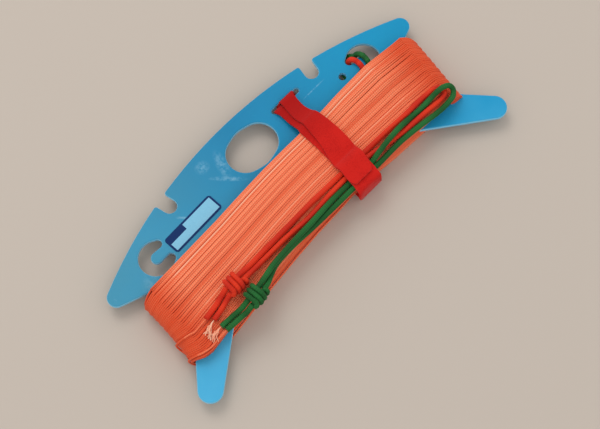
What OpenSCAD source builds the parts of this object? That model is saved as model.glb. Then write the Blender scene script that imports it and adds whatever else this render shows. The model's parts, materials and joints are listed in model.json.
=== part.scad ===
// Flat hand winder holding two flying lines, with their sleeved ends strapped on top.
// X runs along the winder, Y points to its curved grip edge, Z is up.
// The origin is under the middle of the winder, on the surface that it lies on.

/* [Winder plate] */
// Length over the tips of the two lower horns
plate_l = 240; // [225:1:260]
// Width from the tips of the lower horns to the top of the grip edge
plate_w = 109; // [106:0.1:116]
// Thickness of the moulded plate
plate_t = 3; // [2.4:0.1:4.5]
// Radius of the rounded edges, of the outline and of every hole
edge_r = 0.8; // [0.3:0.1:1.1]
// Length over the tips of the two upper horns
grip_l = 236; // [224:1:244]
// How far the upper horns' tips lie below the top of the grip edge
grip_drop = 29.4; // [24:0.1:34]
// Tip radius of the upper horns
upper_tip_r = 5.5; // [4:0.5:7]
// Tip radius of the lower horns
lower_tip_r = 7; // [5:0.5:8]
// Distance between the bottoms of the two end notches
throat_l = 192; // [186:1:196]
// Height of the edge between the lower horns, below the middle line
waist_drop = 23.5; // [22:0.5:25]

/* [Holes in the plate] */
// Length of the finger hole
finger_l = 32.8; // [26:0.2:36]
// Width of the finger hole
finger_w = 25; // [21:0.2:27]
// Height of the finger hole's middle above the middle line
finger_y = 33.6; // [32:0.2:35]
// How far the catches' middles lie below the top of the grip edge
catch_drop = 29; // [28.5:0.1:29.5]
// Distance between the middles of the two C-shaped line catches
catch_pitch = 164.4; // [158:0.2:170]
// Outer radius of a line catch
catch_r = 10.2; // [9:0.1:10.8]
// Radius of the round head of a catch's tongue
tongue_r = 3.4; // [2.8:0.1:3.8]
// Width of the round ends of a catch's two arms
catch_arm = 5; // [4.4:0.1:5.4]
// Radius of the small tie hole
tie_hole_r = 2.3; // [1.5:0.1:2.8]
// Distance from the tie hole to the middle of its catch
tie_gap = 15.8; // [14:0.1:17]
// How far the strap slot lies below the top of the grip edge
slot_drop = 14.5; // [14:0.1:15]
// Length of the strap slot
slot_l = 20.9; // [20:0.1:24]
// Width of the strap slot
slot_w = 3; // [2.9:0.1:3.6]
// Angle of each grip notch from the middle, about the grip edge's centre
notch_a = 11.8; // [10:0.1:12.5]
// Radius of a grip notch
notch_r = 4.2; // [3:0.1:5]
// Depth of a grip notch's centre below the grip edge
notch_depth = 6.8; // [5.5:0.1:8]

/* [Label] */
// Length of the label
label_l = 36; // [30:0.5:37]
// Width of the label
label_w = 10.6; // [8:0.1:11]
// Thickness of the label
label_t = 0.2; // [0.1:0.05:0.4]

/* [Wound line] */
// Diameter of the line
line_d = 1.5; // [1.2:0.05:1.52]
// Distance from one turn to the next, across both lines
line_pitch = 1.96; // [1.93:0.01:2]
// Height of the winding over each face of the plate
wind_t = 7; // [6:0.1:9]
// How far the winding reaches past each end notch
wind_over = 9.5; // [9:0.1:11]
// Upper edge of the winding above the middle line, at the strap
wind_y = 17.7; // [16.5:0.1:18.2]
// Turns of each of the two lines in the outer layer
line_turns = 12; // [8:1:12]

/* [Sleeved ends] */
// Diameter of the coloured sleeves
sleeve_d = 3.2; // [2.8:0.1:3.3]
// Thickness of the sleeve where a knot squeezes it
knot_d = 2.8; // [2.6:0.1:2.9]
// Wraps of the sleeve round the two strands in each knot
knot_wraps = 3; // [2:1:3]

/* [Strap] */
// Middle of the strap, to the right of the winder's middle
strap_x = 31; // [28:0.5:33]
// Width of the strap
strap_w = 16.6; // [14:0.1:18]
// Thickness of the strap
strap_t = 1.2; // [0.8:0.05:1.2]
// How far the strap presses into the top of the winding
strap_press = 1; // [0.4:0.1:1.4]

/* [Hidden] */

// Clearances
lay_gap = 0.1;
body_gap = 0.3;
chord_tol = 0.04;

// Levels
back_z = wind_t;
face_z = wind_t + plate_t;
top_z = face_z + wind_t;
mid_z = back_z + plate_t / 2;

// ---------- Outlines made of circles joined by their common tangents ----------
// Each circle is [x, y, r], in order with the inside on the left.
// r is positive where the edge bulges outwards and negative in a hollow corner.

function clamp1(v) = max(-1, min(1, v));

function tangent_angle(a, b) =
    let (d = [b[0] - a[0], b[1] - a[1]])
    atan2(d[1], d[0]) + asin(clamp1((a[2] - b[2]) / norm(d)));

function wrap180(a) = a - 360 * floor((a + 180) / 360);

function sweep_angle(from, to, r) =
    let (a = wrap180(to - from))
    r > 0 ? (a < -0.01 ? a + 360 : a) : (a > 0.01 ? a - 360 : a);

function arc_steps(a, r) = max(1, ceil(abs(a) / (2 * acos(1 - chord_tol / abs(r)))));

function tangent_length(a, b) =
    sqrt(max(0, pow(b[0] - a[0], 2) + pow(b[1] - a[1], 2) - pow(a[2] - b[2], 2)));

// Outline of the circles, moved inwards by inset
function belt(circles, inset) =
    let (n = len(circles))
    [for (i = [0 : n - 1])
        let (
            c = circles[i],
            before = circles[(i + n - 1) % n],
            from = tangent_angle(before, c),
            to = tangent_angle(c, circles[(i + 1) % n]),
            turn = sweep_angle(from, to, c[2]),
            steps = arc_steps(turn, c[2])
        )
        for (k = [(tangent_length(before, c) < 0.1 ? 1 : 0) : steps])
            let (a = from + turn * k / steps)
            [c[0] + (c[2] - inset) * sin(a), c[1] - (c[2] - inset) * cos(a)]
    ];

function flip_x(circles) = [
    for (i = [len(circles) - 1 : -1 : 0]) [-circles[i][0], circles[i][1], circles[i][2]]
];

rim_w = edge_r + 0.4;

// Quarter-rounded rim of an outline (side 1) or of a hole (side -1), as a closed ring
module rim(circles, side) {
    k = 1 - cos(45);
    section = [
        [rim_w, back_z], [edge_r, back_z], [edge_r * k, back_z + edge_r * k], [0, back_z + edge_r],
        [0, face_z - edge_r], [edge_r * k, face_z - edge_r * k], [edge_r, face_z], [rim_w, face_z]
    ];
    layers = [for (s = section) [for (p = belt(circles, side * s[0])) [p[0], p[1], s[1]]]];
    order = side > 0 ? [0 : 7] : [7 : -1 : 0];
    skin([for (i = [0 : len(layers[0]) - 1]) [for (j = order) layers[j][i]]], closed = true);
}

// ---------- Plate ----------

half_w = plate_w / 2;
half_l = plate_l / 2;
throat_x = throat_l / 2;
upper_tip = [grip_l / 2 - upper_tip_r, half_w - grip_drop, upper_tip_r];
lower_tip = [half_l - lower_tip_r, lower_tip_r - half_w, lower_tip_r];

// The grip edge is one arc that touches both upper tips
grip_r = (grip_drop * grip_drop + upper_tip[0] * upper_tip[0] - upper_tip_r * upper_tip_r)
    / (2 * (grip_drop - upper_tip_r));
grip_y = half_w - grip_r;

mouth_r = 1.5;
mouth_a = (notch_r + mouth_r) / (grip_r - mouth_r) * 180 / PI;

function grip_polar(r, a) = [r * sin(a), grip_y + r * cos(a)];
function on_grip(depth, a, r) = concat(grip_polar(grip_r - depth, a), [r]);

// Hollow corners: horn to waist, horn to end notch, end notch to upper horn
waist_corner = [throat_x - 31.8, -waist_drop - 13, -13];
throat_low = [throat_x + 20, -10, -20];
throat_high = [throat_x + 5.5, 9.5, -5.5];

plate_right = [
    waist_corner, lower_tip, throat_low, throat_high, upper_tip,
    [0, grip_y, grip_r],
    on_grip(mouth_r, notch_a + mouth_a, mouth_r),
    on_grip(notch_depth, notch_a, -notch_r),
    on_grip(mouth_r, notch_a - mouth_a, mouth_r)
];
plate_outline = concat(plate_right, [[0, grip_y, grip_r]], flip_x(plate_right));

// Oval finger hole of four arcs, its middle as high as finger_y
finger_end_r = finger_w * 0.455;
finger_side_r = finger_w * 0.66;
finger_hole = [
    [finger_l / 2 - finger_end_r, finger_y, finger_end_r],
    [0, finger_y + finger_w / 2 - finger_side_r, finger_side_r],
    [finger_end_r - finger_l / 2, finger_y, finger_end_r],
    [0, finger_y - finger_w / 2 + finger_side_r, finger_side_r]
];

// C-shaped catch: an outer arc, two round arm ends and the tongue between them
catch_x = catch_pitch / 2;
catch_y = half_w - catch_drop;
arm_r = catch_arm / 2;
arm_x = catch_x - 6;
catch_right = [
    [catch_x, catch_y, catch_r],
    [arm_x, catch_y + tongue_r + arm_r - 0.4, arm_r],
    [catch_x - 0.3, catch_y, -tongue_r],
    [arm_x, catch_y - tongue_r - arm_r + 0.4, arm_r]
];

tie_x = catch_x - tie_gap;
tie_y = catch_y + 1.5;

slot_x = strap_x + 2.1;
slot_y = half_w - slot_drop;
slot_end_x = (slot_l - slot_w) / 2;
strap_slot = [
    [slot_x + slot_end_x, slot_y, slot_w / 2],
    [slot_x - slot_end_x, slot_y, slot_w / 2]
];

holes = [finger_hole, catch_right, flip_x(catch_right), strap_slot];
lap = edge_r + 0.2;

module winder_plate() {
    color([0.16, 0.56, 0.74])
    difference() {
        union() {
            translate([0, 0, back_z]) linear_extrude(plate_t) difference() {
                polygon(belt(plate_outline, lap));
                for (h = holes) polygon(belt(h, -lap));
            }
            rim(plate_outline, 1);
            for (h = holes) rim(h, -1);
        }
        translate([tie_x, tie_y, back_z - 1]) cylinder(r = tie_hole_r, h = plate_t + 2, $fn = 48);
    }
}

// ---------- Label ----------

label_corner_r = 1.8;
label_tilt = 2.3;

module label() {
    color([0.62, 0.8, 0.9])
    translate([arm_x * -0.714, wind_y + 7.4, face_z])
    rotate(label_tilt)
    linear_extrude(label_t) {
        square([label_l - 2 * label_corner_r, label_w], center = true);
        square([label_l, label_w - 2 * label_corner_r], center = true);
        for (x = [-1, 1]) for (y = [-1, 1])
            translate([x * (label_l / 2 - label_corner_r), y * (label_w / 2 - label_corner_r)])
                circle(r = label_corner_r, $fn = 32);
    }
}

// ---------- Tubes ----------

function unit(v) = v / norm(v);

function path_tangent(path, i) =
    unit(path[min(i + 1, len(path) - 1)] - path[max(i - 1, 0)]);

// Points of the rings of a tube, whose sections' first corners face ref
function ring(path, i, ref, r, sides) =
    let (
        t = path_tangent(path, i),
        s = unit(ref - (ref * t) * t),
        n = cross(s, t)
    )
    [for (k = [0 : sides - 1])
        path[i] + r * (cos(360 * k / sides) * s + sin(360 * k / sides) * n)];

// Directions carried along the path without twist
function carried(path, ref, i = 0) =
    i >= len(path) ? [] :
    let (
        t = path_tangent(path, i),
        s = unit(ref - (ref * t) * t)
    )
    concat([s], carried(path, s, i + 1));

module skin(rings, closed = false) {
    m = len(rings);
    n = len(rings[0]);
    last = closed ? m - 1 : m - 2;
    sides = [
        for (j = [0 : last]) for (i = [0 : n - 1])
            let (a = j * n, b = ((j + 1) % m) * n, k = (i + 1) % n)
            each [[a + i, a + k, b + k], [a + i, b + k, b + i]]
    ];
    start_cap = [for (i = [0 : n / 2 - 2]) each [[i, n - 2 - i, i + 1], [i, n - 1 - i, n - 2 - i]]];
    end_cap = [for (f = start_cap) [f[2], f[1], f[0]] + (m - 1) * n * [1, 1, 1]];
    polyhedron(
        [for (r = rings) for (p = r) p],
        closed ? sides : concat(sides, start_cap, end_cap),
        convexity = 10
    );
}

module tube(path, d, sides, ref) {
    dirs = carried(path, ref);
    skin([for (i = [0 : len(path) - 1]) ring(path, i, dirs[i], d / 2, sides)]);
}

// A tube round a closed path, turned a little from ring to ring so that its sides meet
module closed_tube(path, d, sides, ref) {
    n = len(path);
    around = concat([path[n - 1]], path, [path[0], path[1]]);
    dirs = carried(around, ref);
    miss = atan2(cross(dirs[n + 1], dirs[1]) * path_tangent(around, 1), dirs[n + 1] * dirs[1]);
    skin([
        for (i = [1 : n])
            let (a = miss * (i - 1) / n, across = cross(path_tangent(around, i), dirs[i]))
            ring(around, i, cos(a) * dirs[i] + sin(a) * across, d / 2, sides)
    ], closed = true);
}

// ---------- Winding ----------
// A turn has 24 stations: 8 along the front, 4 round the right end,
// 8 along the back and 4 round the left end. Turn k counts from the grip side.

flat_r = line_d / 2 * cos(30);
turns = 2 * line_turns;
lay_h = wind_t - flat_r;
end_r = lay_h + plate_t / 2;
run_x = throat_x + wind_over - end_r;
back_press = strap_t + lay_gap;

// Stations along the right-going front: x, drift of the upper edge, spacing, pressed by the strap
press_ramp = 15;
stations = [
    [-run_x, -5.2, 1.02, 0],
    [-45, -2.2, 0.99, 0],
    [strap_x - strap_w / 2 - press_ramp, -0.5, 0.96, 0],
    [strap_x - strap_w / 2 - 0.8, 0, 0.95, 1],
    [strap_x + strap_w / 2 + 0.8, 0.2, 0.95, 1],
    [strap_x + strap_w / 2 + press_ramp, 0.5, 0.97, 0],
    [throat_x - 18, 1.7, 1, 0],
    [run_x, -0.6, 1, 0]
];

// Where the upper edge meets each end notch, and how much the turns close up there
end_y = [[13.6, 0.95], [12, 0.895]];
slide_out = 4.4;
end_angles = [54, 18, -18, -54];

function edge_z(front, pressed, off) =
    front ? face_z + lay_h + off - strap_press * pressed
          : back_z - lay_h - off + back_press * pressed;

function run_point(j, k, front, off) =
    let (s = stations[j])
    [
        s[0],
        wind_y - line_d / 2 + s[1] - k * line_pitch * s[2],
        edge_z(front, s[3], off)
    ];

function end_point(side, m, k, off) =
    let (
        right = side > 0,
        a = right ? end_angles[m] : end_angles[3 - m],
        e = end_y[right ? 0 : 1],
        s = stations[right ? 7 : 0],
        w = abs(a) > 30 ? 0.5 : 1,
        run_y = wind_y - line_d / 2 + s[1] - k * line_pitch * s[2],
        end_turn_y = e[0] - line_d / 2 - k * line_pitch * e[1],
        out = slide_out * pow(max(0, k) / (turns - 1), 2)
    )
    [
        side * (run_x + out + (end_r + off) * cos(a)),
        run_y + (end_turn_y - run_y) * w,
        mid_z + (end_r + off) * sin(a)
    ];

// Station i of the turn that lies at k on the front and moves on by step along the back
function turn_point(i, k, step, off) =
    i < 8 ? run_point(i, k, true, off) :
    i < 12 ? end_point(1, i - 8, k, off) :
    i < 20 ? run_point(19 - i, k + step * (i - 11.5) / 8, false, off) :
    end_point(-1, i - 20, k + step, off);

// The outer layer is two lines laid side by side, so each moves on by two turns at a time
function wound_path(first) = concat(
    [(turn_point(15, first - 2, 2, 0) + turn_point(16, first - 2, 2, 0)) / 2],
    [for (i = [16 : 23]) turn_point(i, first - 2, 2, 0)],
    [for (t = [0 : line_turns - 1]) for (i = [0 : (t == line_turns - 1 ? 19 : 23)])
        turn_point(i, first + 2 * t, 2, 0)]
);

function least_gap(path, skip) = min([
    for (i = [0 : len(path) - 1 - skip]) for (j = [i + skip : len(path) - 1])
        norm(path[i] - path[j])
]);

// Each line comes round the left end for the last time on top of the other turns, at the places
// and heights given here, and ends in the tail of its sleeve
lead_z = top_z + sleeve_d / 2 + lay_gap;
over_turns = line_d + 0.5;
red_over = [
    [turns - 0.5, over_turns - 0.5], [turns - 3.4, over_turns],
    [turns - 5.8, over_turns], [turns - 6.6, over_turns]
];
green_over = [
    [turns + 0.7, 0.7], [turns - 0.3, over_turns], [turns - 1.3, over_turns], [turns - 1.7, over_turns]
];

red_lead = [
    [-97.6, -20.6, lead_z - 0.2], [-93, -20.4, lead_z], [-90.6, -20.3, lead_z], [-88.6, -20.2, lead_z]
];
green_lead = [
    [-97.4, -32.9, lead_z - 0.2], [-91, -32.5, lead_z], [-87.4, -32.4, lead_z], [-85.2, -32.4, lead_z]
];

function over_end(places) = [for (m = [0 : 3]) end_point(-1, m, places[m][0], places[m][1])];

red_line_path = concat(wound_path(0), over_end(red_over), red_lead);
green_line_path = concat(wound_path(1), over_end(green_over), green_lead);

echo(red_line_least_gap = least_gap(red_line_path, 12) - line_d);
echo(green_line_least_gap = least_gap(green_line_path, 12) - line_d);

orange = [0.93, 0.46, 0.32];

module wound_line(path) {
    color(orange)
    skin([for (i = [0 : len(path) - 1]) ring(path, i, [0, 1, 0], line_d / 2, 6)]);
}

module red_end_line() wound_line(red_line_path);

module green_end_line() wound_line(green_line_path);

// Inner layers, as one core under the outer turns, round the plate between its horns
core_slices = [[-0.1, 1.6], [0.6, 0], [6, 0], [12, 0], [17, 0], [turns - 1.6, 0], [turns - 0.9, 1.6]];

function core_point(i, k, off) =
    turn_point(i, i < 12 || i > 19 ? k : k * (1 + 1.6 / turns) - 0.8, 0, off);

module inner_turns() {
    under = flat_r + lay_gap;
    color([0.86, 0.36, 0.22])
    difference() {
        skin([for (s = core_slices) [for (i = [0 : 23]) core_point(i, s[0], -under - s[1])]]);
        translate([0, 0, back_z]) linear_extrude(plate_t) polygon(belt(plate_outline, 0));
    }
}

// ---------- Sleeved ends ----------
// Route points are [x, y, lift]: lift 0 lies on the winding, lift 1 on another sleeve.

red_route = [
    [-64.5, -16.4, 0.89], [-58.8, -16.2, 0.8], [-53, -16.1, 0.3], [-45, -15.8, 0], [-20, -15.3, 0],
    [7, -15, 0], [21, -15, 0], [41, -15.4, 0], [56, -15.9, 0], [70, -16.5, 0], [84, -16.6, 0],
    [90, -17, 0], [94.5, -18, 0], [97, -19.8, 0], [97.3, -22.2, 0], [95, -24, 0], [90, -24.3, 0],
    [80, -23.7, 0], [70, -23.2, 0], [60, -22.2, 0], [50, -20.9, 0], [41, -18.8, 0],
    [21, -18.5, 0], [7, -19.1, 0], [-10, -20.2, 0], [-24, -19.3, 0], [-45, -19.2, 0],
    [-53, -19.4, 0.3], [-59.3, -19.6, 0.85]
];
green_route = [
    [-61.3, -28.9, 0.89], [-55.5, -28, 0.92], [-50, -26.9, 1.05], [-45, -25.8, 1.03],
    [-28, -24.3, 1.03], [-12, -23.6, 0.9], [6, -22.3, 0.3], [21, -22, 0], [38, -22.3, 0.05],
    [43.5, -21.8, 0.9], [50, -21, 1.05], [57, -20.4, 1.05], [64, -20, 0.85], [71, -19.8, 0.05],
    [82, -20.3, 0.05], [88, -20.4, 0.5], [92.5, -20.6, 1.05], [97, -21.2, 1.08],
    [100.2, -22.8, 0.8], [100.8, -25.3, 0.25], [98.6, -27.6, 0], [93, -28.7, 0], [84, -28.5, 0],
    [76, -27.4, 0], [58, -25.6, 0], [39, -25.6, 0], [21, -25.4, 0], [7, -25.6, 0],
    [-12, -25.4, 0], [-28, -24.9, 0], [-42, -26, 0], [-48, -28.3, 0.05], [-52, -30.2, 0.35],
    [-55.8, -31.3, 0.85]
];
red_tail_routes = [
    [[-64.8, -16.4, 0.89], [-70, -16.7, 0.87], [-75, -17.6, 0.2], [-80, -18.7, 0], [-88.6, -20.2, 0]],
    [[-69.8, -20, 0.85], [-74.5, -21.2, 0.2], [-79, -22.3, 0], [-86, -23.7, 0]]
];
green_tail_routes = [
    [[-66.1, -33, 0.85], [-70, -33.2, 0.25], [-75, -32.9, 0], [-85.2, -32.4, 0]],
    [[-61.6, -28.95, 0.89], [-67.2, -29.7, 0.87], [-71.5, -29.8, 0.25], [-77, -29.4, 0], [-85.8, -29, 0]]
];
tag_routes = [
    [[-86, -23.7, 0], [-88.4, -24.2, -0.1], [-90.8, -25.4, -0.2]],
    [[-85.8, -29, 0], [-88.2, -29, -0.1], [-90.6, -29.6, -0.2]]
];

// How deep the strap presses the winding at x, from 0 to 1
function pressed_at(x) =
    let (d = abs(x - strap_x) - strap_w / 2 - 0.8)
    d <= 0 ? 1 : max(0, 1 - d / press_ramp);

function laid(route) = [
    for (p = route) [
        p[0], p[1],
        top_z + sleeve_d / 2 + lay_gap + p[2] * sleeve_d - strap_press * pressed_at(p[0])
    ]
];

red = [0.78, 0.14, 0.08];
green = [0.13, 0.43, 0.2];

module sleeve(route) tube(laid(route), sleeve_d, 8, [0, 0, 1]);

// Barrel knot, drawn tight round the doubled sleeve. One of the two strands in its middle turns out
// at each end and wraps round both; the other is the loop's and the tail's own.
knot_side = sleeve_d / 2;
knot_r = (knot_d + sleeve_d) / 2 + lay_gap / 2;
knot_turn = 360 * knot_wraps - 120;
knot_half = (knot_d + lay_gap) * knot_turn / 720;
knot_steps = 12;

// Where the strand turns out of the middle: share of the way out, overrun and angle
knot_bend = [[0.2, 1.2, 0], [0.58, 1.45, 32], [0.9, 0.9, 66]];

// At angle a of the oval round both strands, or at a share of the way to it from the inner strand
function knot_spot(x, share, a) =
    let (y = knot_side * clamp1(2.5 * cos(a)) + knot_r * cos(a))
    [x, share * y - (1 - share) * knot_side, share * knot_r * sin(a)];

function knot_path() =
    let (
        wraps = knot_steps * knot_turn / 360,
        out = [for (b = knot_bend) knot_spot(knot_half + b[1], b[0], 140 + b[2])],
        round = [for (i = [0 : wraps])
            knot_spot(knot_half * (1 - 2 * i / wraps), 1, 240 + knot_turn * i / wraps)],
        in = [for (i = [2 : -1 : 0])
            let (b = knot_bend[i]) knot_spot(-knot_half - b[1], b[0], 220 - b[2])]
    )
    concat([for (x = [-1, 0, 1]) [x * knot_half, -knot_side, 0]], out, round, in);

knot_z = top_z + knot_r + knot_d / 2 + lay_gap;
red_knot_at = [-64.6, -18, 2];
green_knot_at = [-61.2, -30.5, 9];

// The knot's place is x, y and the angle that its length makes with X
module knot(at)
    translate([at[0], at[1], knot_z]) rotate(at[2]) closed_tube(knot_path(), knot_d, 8, [0, 0, 1]);

module red_sleeve_loop() color(red) sleeve(red_route);

module red_knot() color(red) knot(red_knot_at);

module red_sleeve_tails() color(red) for (r = red_tail_routes) sleeve(r);

module green_sleeve_loop() color(green) sleeve(green_route);

module green_knot() color(green) knot(green_knot_at);

module green_sleeve_tails() color(green) for (r = green_tail_routes) sleeve(r);

module line_tag_ends() color(orange) for (r = tag_routes) tube(laid(r), line_d, 6, [0, 0, 1]);

// The far ends of both lines hook over the tongue of the right catch
over_z = face_z + sleeve_d / 2 + lay_gap;
under_z = back_z - sleeve_d / 2 - lay_gap;

red_start_route = [
    [72.4, wind_y - 1.7, under_z], [73.2, 21, under_z], [74, 26, under_z], [74.8, 29.4, under_z],
    [76, 31.4, mid_z], [77.2, 30.4, over_z - 0.7], [78.2, 28, over_z], [78.4, 26, over_z],
    [78.3, 23.6, over_z], [77.9, 21.4, over_z - 0.3], [77.4, 19.7, mid_z + 0.4],
    [77.5, 18.1, under_z + 0.1], [78, wind_y - 1.2, under_z]
];
green_start_route = [
    [68.2, wind_y - 1.7, under_z], [69.1, 24, under_z], [69.3, 28, under_z], [70.8, 32.6, under_z],
    [75.6, 35.4, under_z], [79, 34.6, under_z], [80.8, 31.6, mid_z - 0.4],
    [82.2, 30.3, over_z - 0.6], [83.2, 28, over_z], [83.4, 26, over_z],
    [83.2, 23.4, over_z], [82.6, 21.2, over_z - 0.2], [82, 19.4, mid_z + 0.5],
    [81.9, 17.9, under_z + 0.1], [82.4, wind_y - 1.2, under_z]
];

module red_start_loop() color(red) tube(red_start_route, sleeve_d, 8, [0, 0, 1]);

module green_start_loop() color(green) tube(green_start_route, sleeve_d, 8, [0, 0, 1]);

// ---------- Strap ----------
// A strip of hook-and-loop tape: front layer, round the lower side, back layer,
// up through the slot, and back over the front as the free tail.

strap_low = wind_y - (turns + 0.2) * line_pitch * 0.95 - line_d;
press_top = top_z - strap_press;
half_t = strap_t / 2;
hump_z = press_top + sleeve_d + 2 * lay_gap + half_t;
hump_from = -15.2 + sleeve_d / 2;
tip_y = -20;
hinge_y = slot_y + 0.75;
hinge_z = face_z + 0.9;

// Points are [y, z, x of the middle, width, flare of the side edges]
slot_start = [
    [slot_y - 0.75, face_z - 1.2, slot_x - 5, strap_w * 0.5, 0],
    [slot_y - 0.8, face_z + 0.2, slot_x - 5, strap_w * 0.52, 0],
    [slot_y - 1.8, face_z + 1.3, slot_x - 4.7, strap_w * 0.58, 0],
    [slot_y - 5, face_z + 1.9, slot_x - 3.8, strap_w * 0.76, 0]
];
front_layer = [
    [27, face_z + 3.5, slot_x - 2.8, strap_w * 0.92, 0],
    [wind_y + 3.2, press_top - 0.9, strap_x - 0.4, strap_w, 0],
    [wind_y + 1, press_top + 0.35, strap_x - 0.2, strap_w, 0],
    [wind_y - 0.6, press_top + half_t + lay_gap, strap_x, strap_w, 0],
    [6, press_top + half_t + lay_gap, strap_x + 0.5, strap_w, 0],
    [-5, press_top + half_t + lay_gap, strap_x, strap_w, 0],
    [hump_from + 3.4, press_top + half_t + 0.3, strap_x - 0.5, strap_w, 0],
    [hump_from + 1.5, press_top + sleeve_d * 0.7 + half_t, strap_x - 0.7, strap_w, 0],
    [hump_from - 0.6, hump_z + 0.1, strap_x - 1, strap_w, 0],
    [tip_y, hump_z, strap_x - 1.8, strap_w, 0],
    [tip_y - 6, hump_z, strap_x - 2.8, strap_w, 0.2]
];
lower_side = [
    [strap_low - 1.2, hump_z - 1.4, strap_x - 3.4, strap_w * 1.02, 0.9],
    [strap_low - 2, top_z - 1.6, strap_x - 4, strap_w * 1.04, 1.4],
    [strap_low - 1.7, mid_z + 2, strap_x - 3.2, strap_w, 0.8],
    [strap_low - 1.2, mid_z - 3, strap_x - 1.6, strap_w, 0.2],
    [strap_low - 0.8, 2.2, strap_x - 0.6, strap_w, 0],
    [strap_low - 0.3, 0.9, strap_x - 0.3, strap_w, 0]
];
back_layer = [
    [strap_low + 1, half_t, strap_x, strap_w, 0],
    [-10, half_t, strap_x, strap_w, 0],
    [wind_y + 2, half_t, strap_x, strap_w, 0],
    [wind_y + 4, half_t + 0.8, strap_x + 0.3, strap_w, 0],
    [slot_y - 4, back_z - 2, slot_x, strap_w * 0.95, 0],
    [hinge_y - 0.8, back_z - 0.7, slot_x + 0.6, strap_w * 0.9, 0],
    [hinge_y, back_z + 0.8, slot_x + 1, strap_w * 0.85, 0],
    [hinge_y, face_z, slot_x + 2, strap_w * 0.7, 0],
    [hinge_y, hinge_z + 0.3, slot_x + 2.6, strap_w * 0.64, 0]
];

function side_of(path, i) =
    let (
        a = path[max(i - 1, 0)],
        b = path[min(i + 1, len(path) - 1)],
        p = path[i],
        before = i == 0 ? [b[0] - p[0], b[1] - p[1]] : [p[0] - a[0], p[1] - a[1]],
        after = i == len(path) - 1 ? before : [b[0] - p[0], b[1] - p[1]],
        m = unit(unit(before) + unit(after)),
        grow = 1 / max(0.5, m * unit(before))
    )
    [m[1], -m[0]] * grow;

// A strip along a path in the YZ plane, seven points across, its outer face on the left
module strip(path) {
    skin([
        for (i = [0 : len(path) - 1])
            let (p = path[i], out = side_of(path, i))
            concat(
                [for (k = [-3 : 3]) strip_point(p, out, k / 3, half_t)],
                [for (k = [3 : -1 : -3]) strip_point(p, out, k / 3, -half_t)]
            )
    ]);
}

function strip_point(p, out, u, h) =
    let (edge = p[4] * (u * u - 0.4))
    [p[2] + u * p[3] / 2, p[0] + out[0] * (h + edge), p[1] + out[1] * (h + edge)];

// The tail lies over the front layer and ends round
tail_lift = strap_t + body_gap + 0.05;
tail_middle = [1.6, 4.3, 4.4, 4.4, 3, 1.2, 0.2, 0, -0.2, -0.8];
tail_width = [0.56, 0.6, 0.64, 0.68, 0.84, 0.98, 1, 1, 1, 1];
tail_root = [
    [hinge_y, hinge_z + 0.95, slot_x + 2.7, strap_w * 0.62, 0],
    [hinge_y - 0.3, hinge_z + 1.8, slot_x + 2.7, strap_w * 0.62, 0],
    [hinge_y - 1.5, hinge_z + 2.7, slot_x + 2.4, strap_w * 0.6, 0],
    [slot_y - 5, face_z + 1.9 + tail_lift, slot_x + 1.2, strap_w * 0.56, 0]
];
tail_over = [
    for (i = [0 : 8])
        let (s = side_of(front_layer, i), p = front_layer[i])
        [
            p[0] + s[0] * tail_lift,
            p[1] + s[1] * tail_lift,
            (i == 0 ? slot_x - 0.6 : strap_x - 0.2) + tail_middle[i],
            strap_w * tail_width[i],
            0
        ]
];
tail_tip_r = 5;
tail_tip = [
    for (a = [0 : 22.5 : 67.5])
        [
            tip_y - tail_tip_r * sin(a) * 1.3,
            hump_z + tail_lift,
            strap_x - 2 - 0.9 * sin(a),
            strap_w * (0.55 + 0.45 * cos(a)),
            0
        ]
];
tail_path = concat(tail_root, tail_over, tail_tip);

strap_red = [0.76, 0.13, 0.12];

module strap_band() color(strap_red) strip(concat(slot_start, front_layer, lower_side, back_layer));

module strap_tail() color(strap_red) strip(tail_path);

winder_plate();
label();
inner_turns();
red_end_line();
green_end_line();
red_sleeve_loop();
red_knot();
red_sleeve_tails();
green_sleeve_loop();
green_knot();
green_sleeve_tails();
line_tag_ends();
red_start_loop();
green_start_loop();
strap_band();
strap_tail();
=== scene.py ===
import json
import math
import random

import bmesh
import bpy
from mathutils import Matrix, Vector

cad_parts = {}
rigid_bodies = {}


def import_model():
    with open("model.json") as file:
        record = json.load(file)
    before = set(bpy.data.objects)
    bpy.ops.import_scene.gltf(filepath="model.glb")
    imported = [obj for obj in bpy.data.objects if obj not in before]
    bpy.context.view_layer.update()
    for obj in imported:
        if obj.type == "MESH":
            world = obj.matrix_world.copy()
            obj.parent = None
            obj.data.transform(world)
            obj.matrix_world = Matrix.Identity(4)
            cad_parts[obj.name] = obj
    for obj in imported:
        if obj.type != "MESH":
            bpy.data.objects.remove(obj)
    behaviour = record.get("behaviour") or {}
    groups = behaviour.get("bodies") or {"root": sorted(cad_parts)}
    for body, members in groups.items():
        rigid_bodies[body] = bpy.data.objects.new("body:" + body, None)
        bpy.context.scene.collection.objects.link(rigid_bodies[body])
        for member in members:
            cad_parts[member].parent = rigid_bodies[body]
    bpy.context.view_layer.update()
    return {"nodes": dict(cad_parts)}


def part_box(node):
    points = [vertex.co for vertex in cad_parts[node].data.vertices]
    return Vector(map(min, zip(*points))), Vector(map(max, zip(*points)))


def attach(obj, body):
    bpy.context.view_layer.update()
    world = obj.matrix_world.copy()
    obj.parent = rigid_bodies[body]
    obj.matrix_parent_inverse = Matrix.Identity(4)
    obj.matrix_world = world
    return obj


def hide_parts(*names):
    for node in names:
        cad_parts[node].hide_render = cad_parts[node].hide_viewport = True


for leftover in list(bpy.data.objects):
    bpy.data.objects.remove(leftover)
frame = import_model()
print("frame loaded:", len(frame["nodes"]), "nodes")

mm = 0.001
chance = random.Random(11)

# Levels of the plate and of the winding on it, in millimetres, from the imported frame
plateLow, plateHigh = [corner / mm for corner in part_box("winder_plate")]
backZ, faceZ = plateLow.z, plateHigh.z
midZ = (backZ + faceZ) / 2
windT = backZ  # the winding is as deep above the plate as below it
topZ = faceZ + windT
layGap = 0.1


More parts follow.
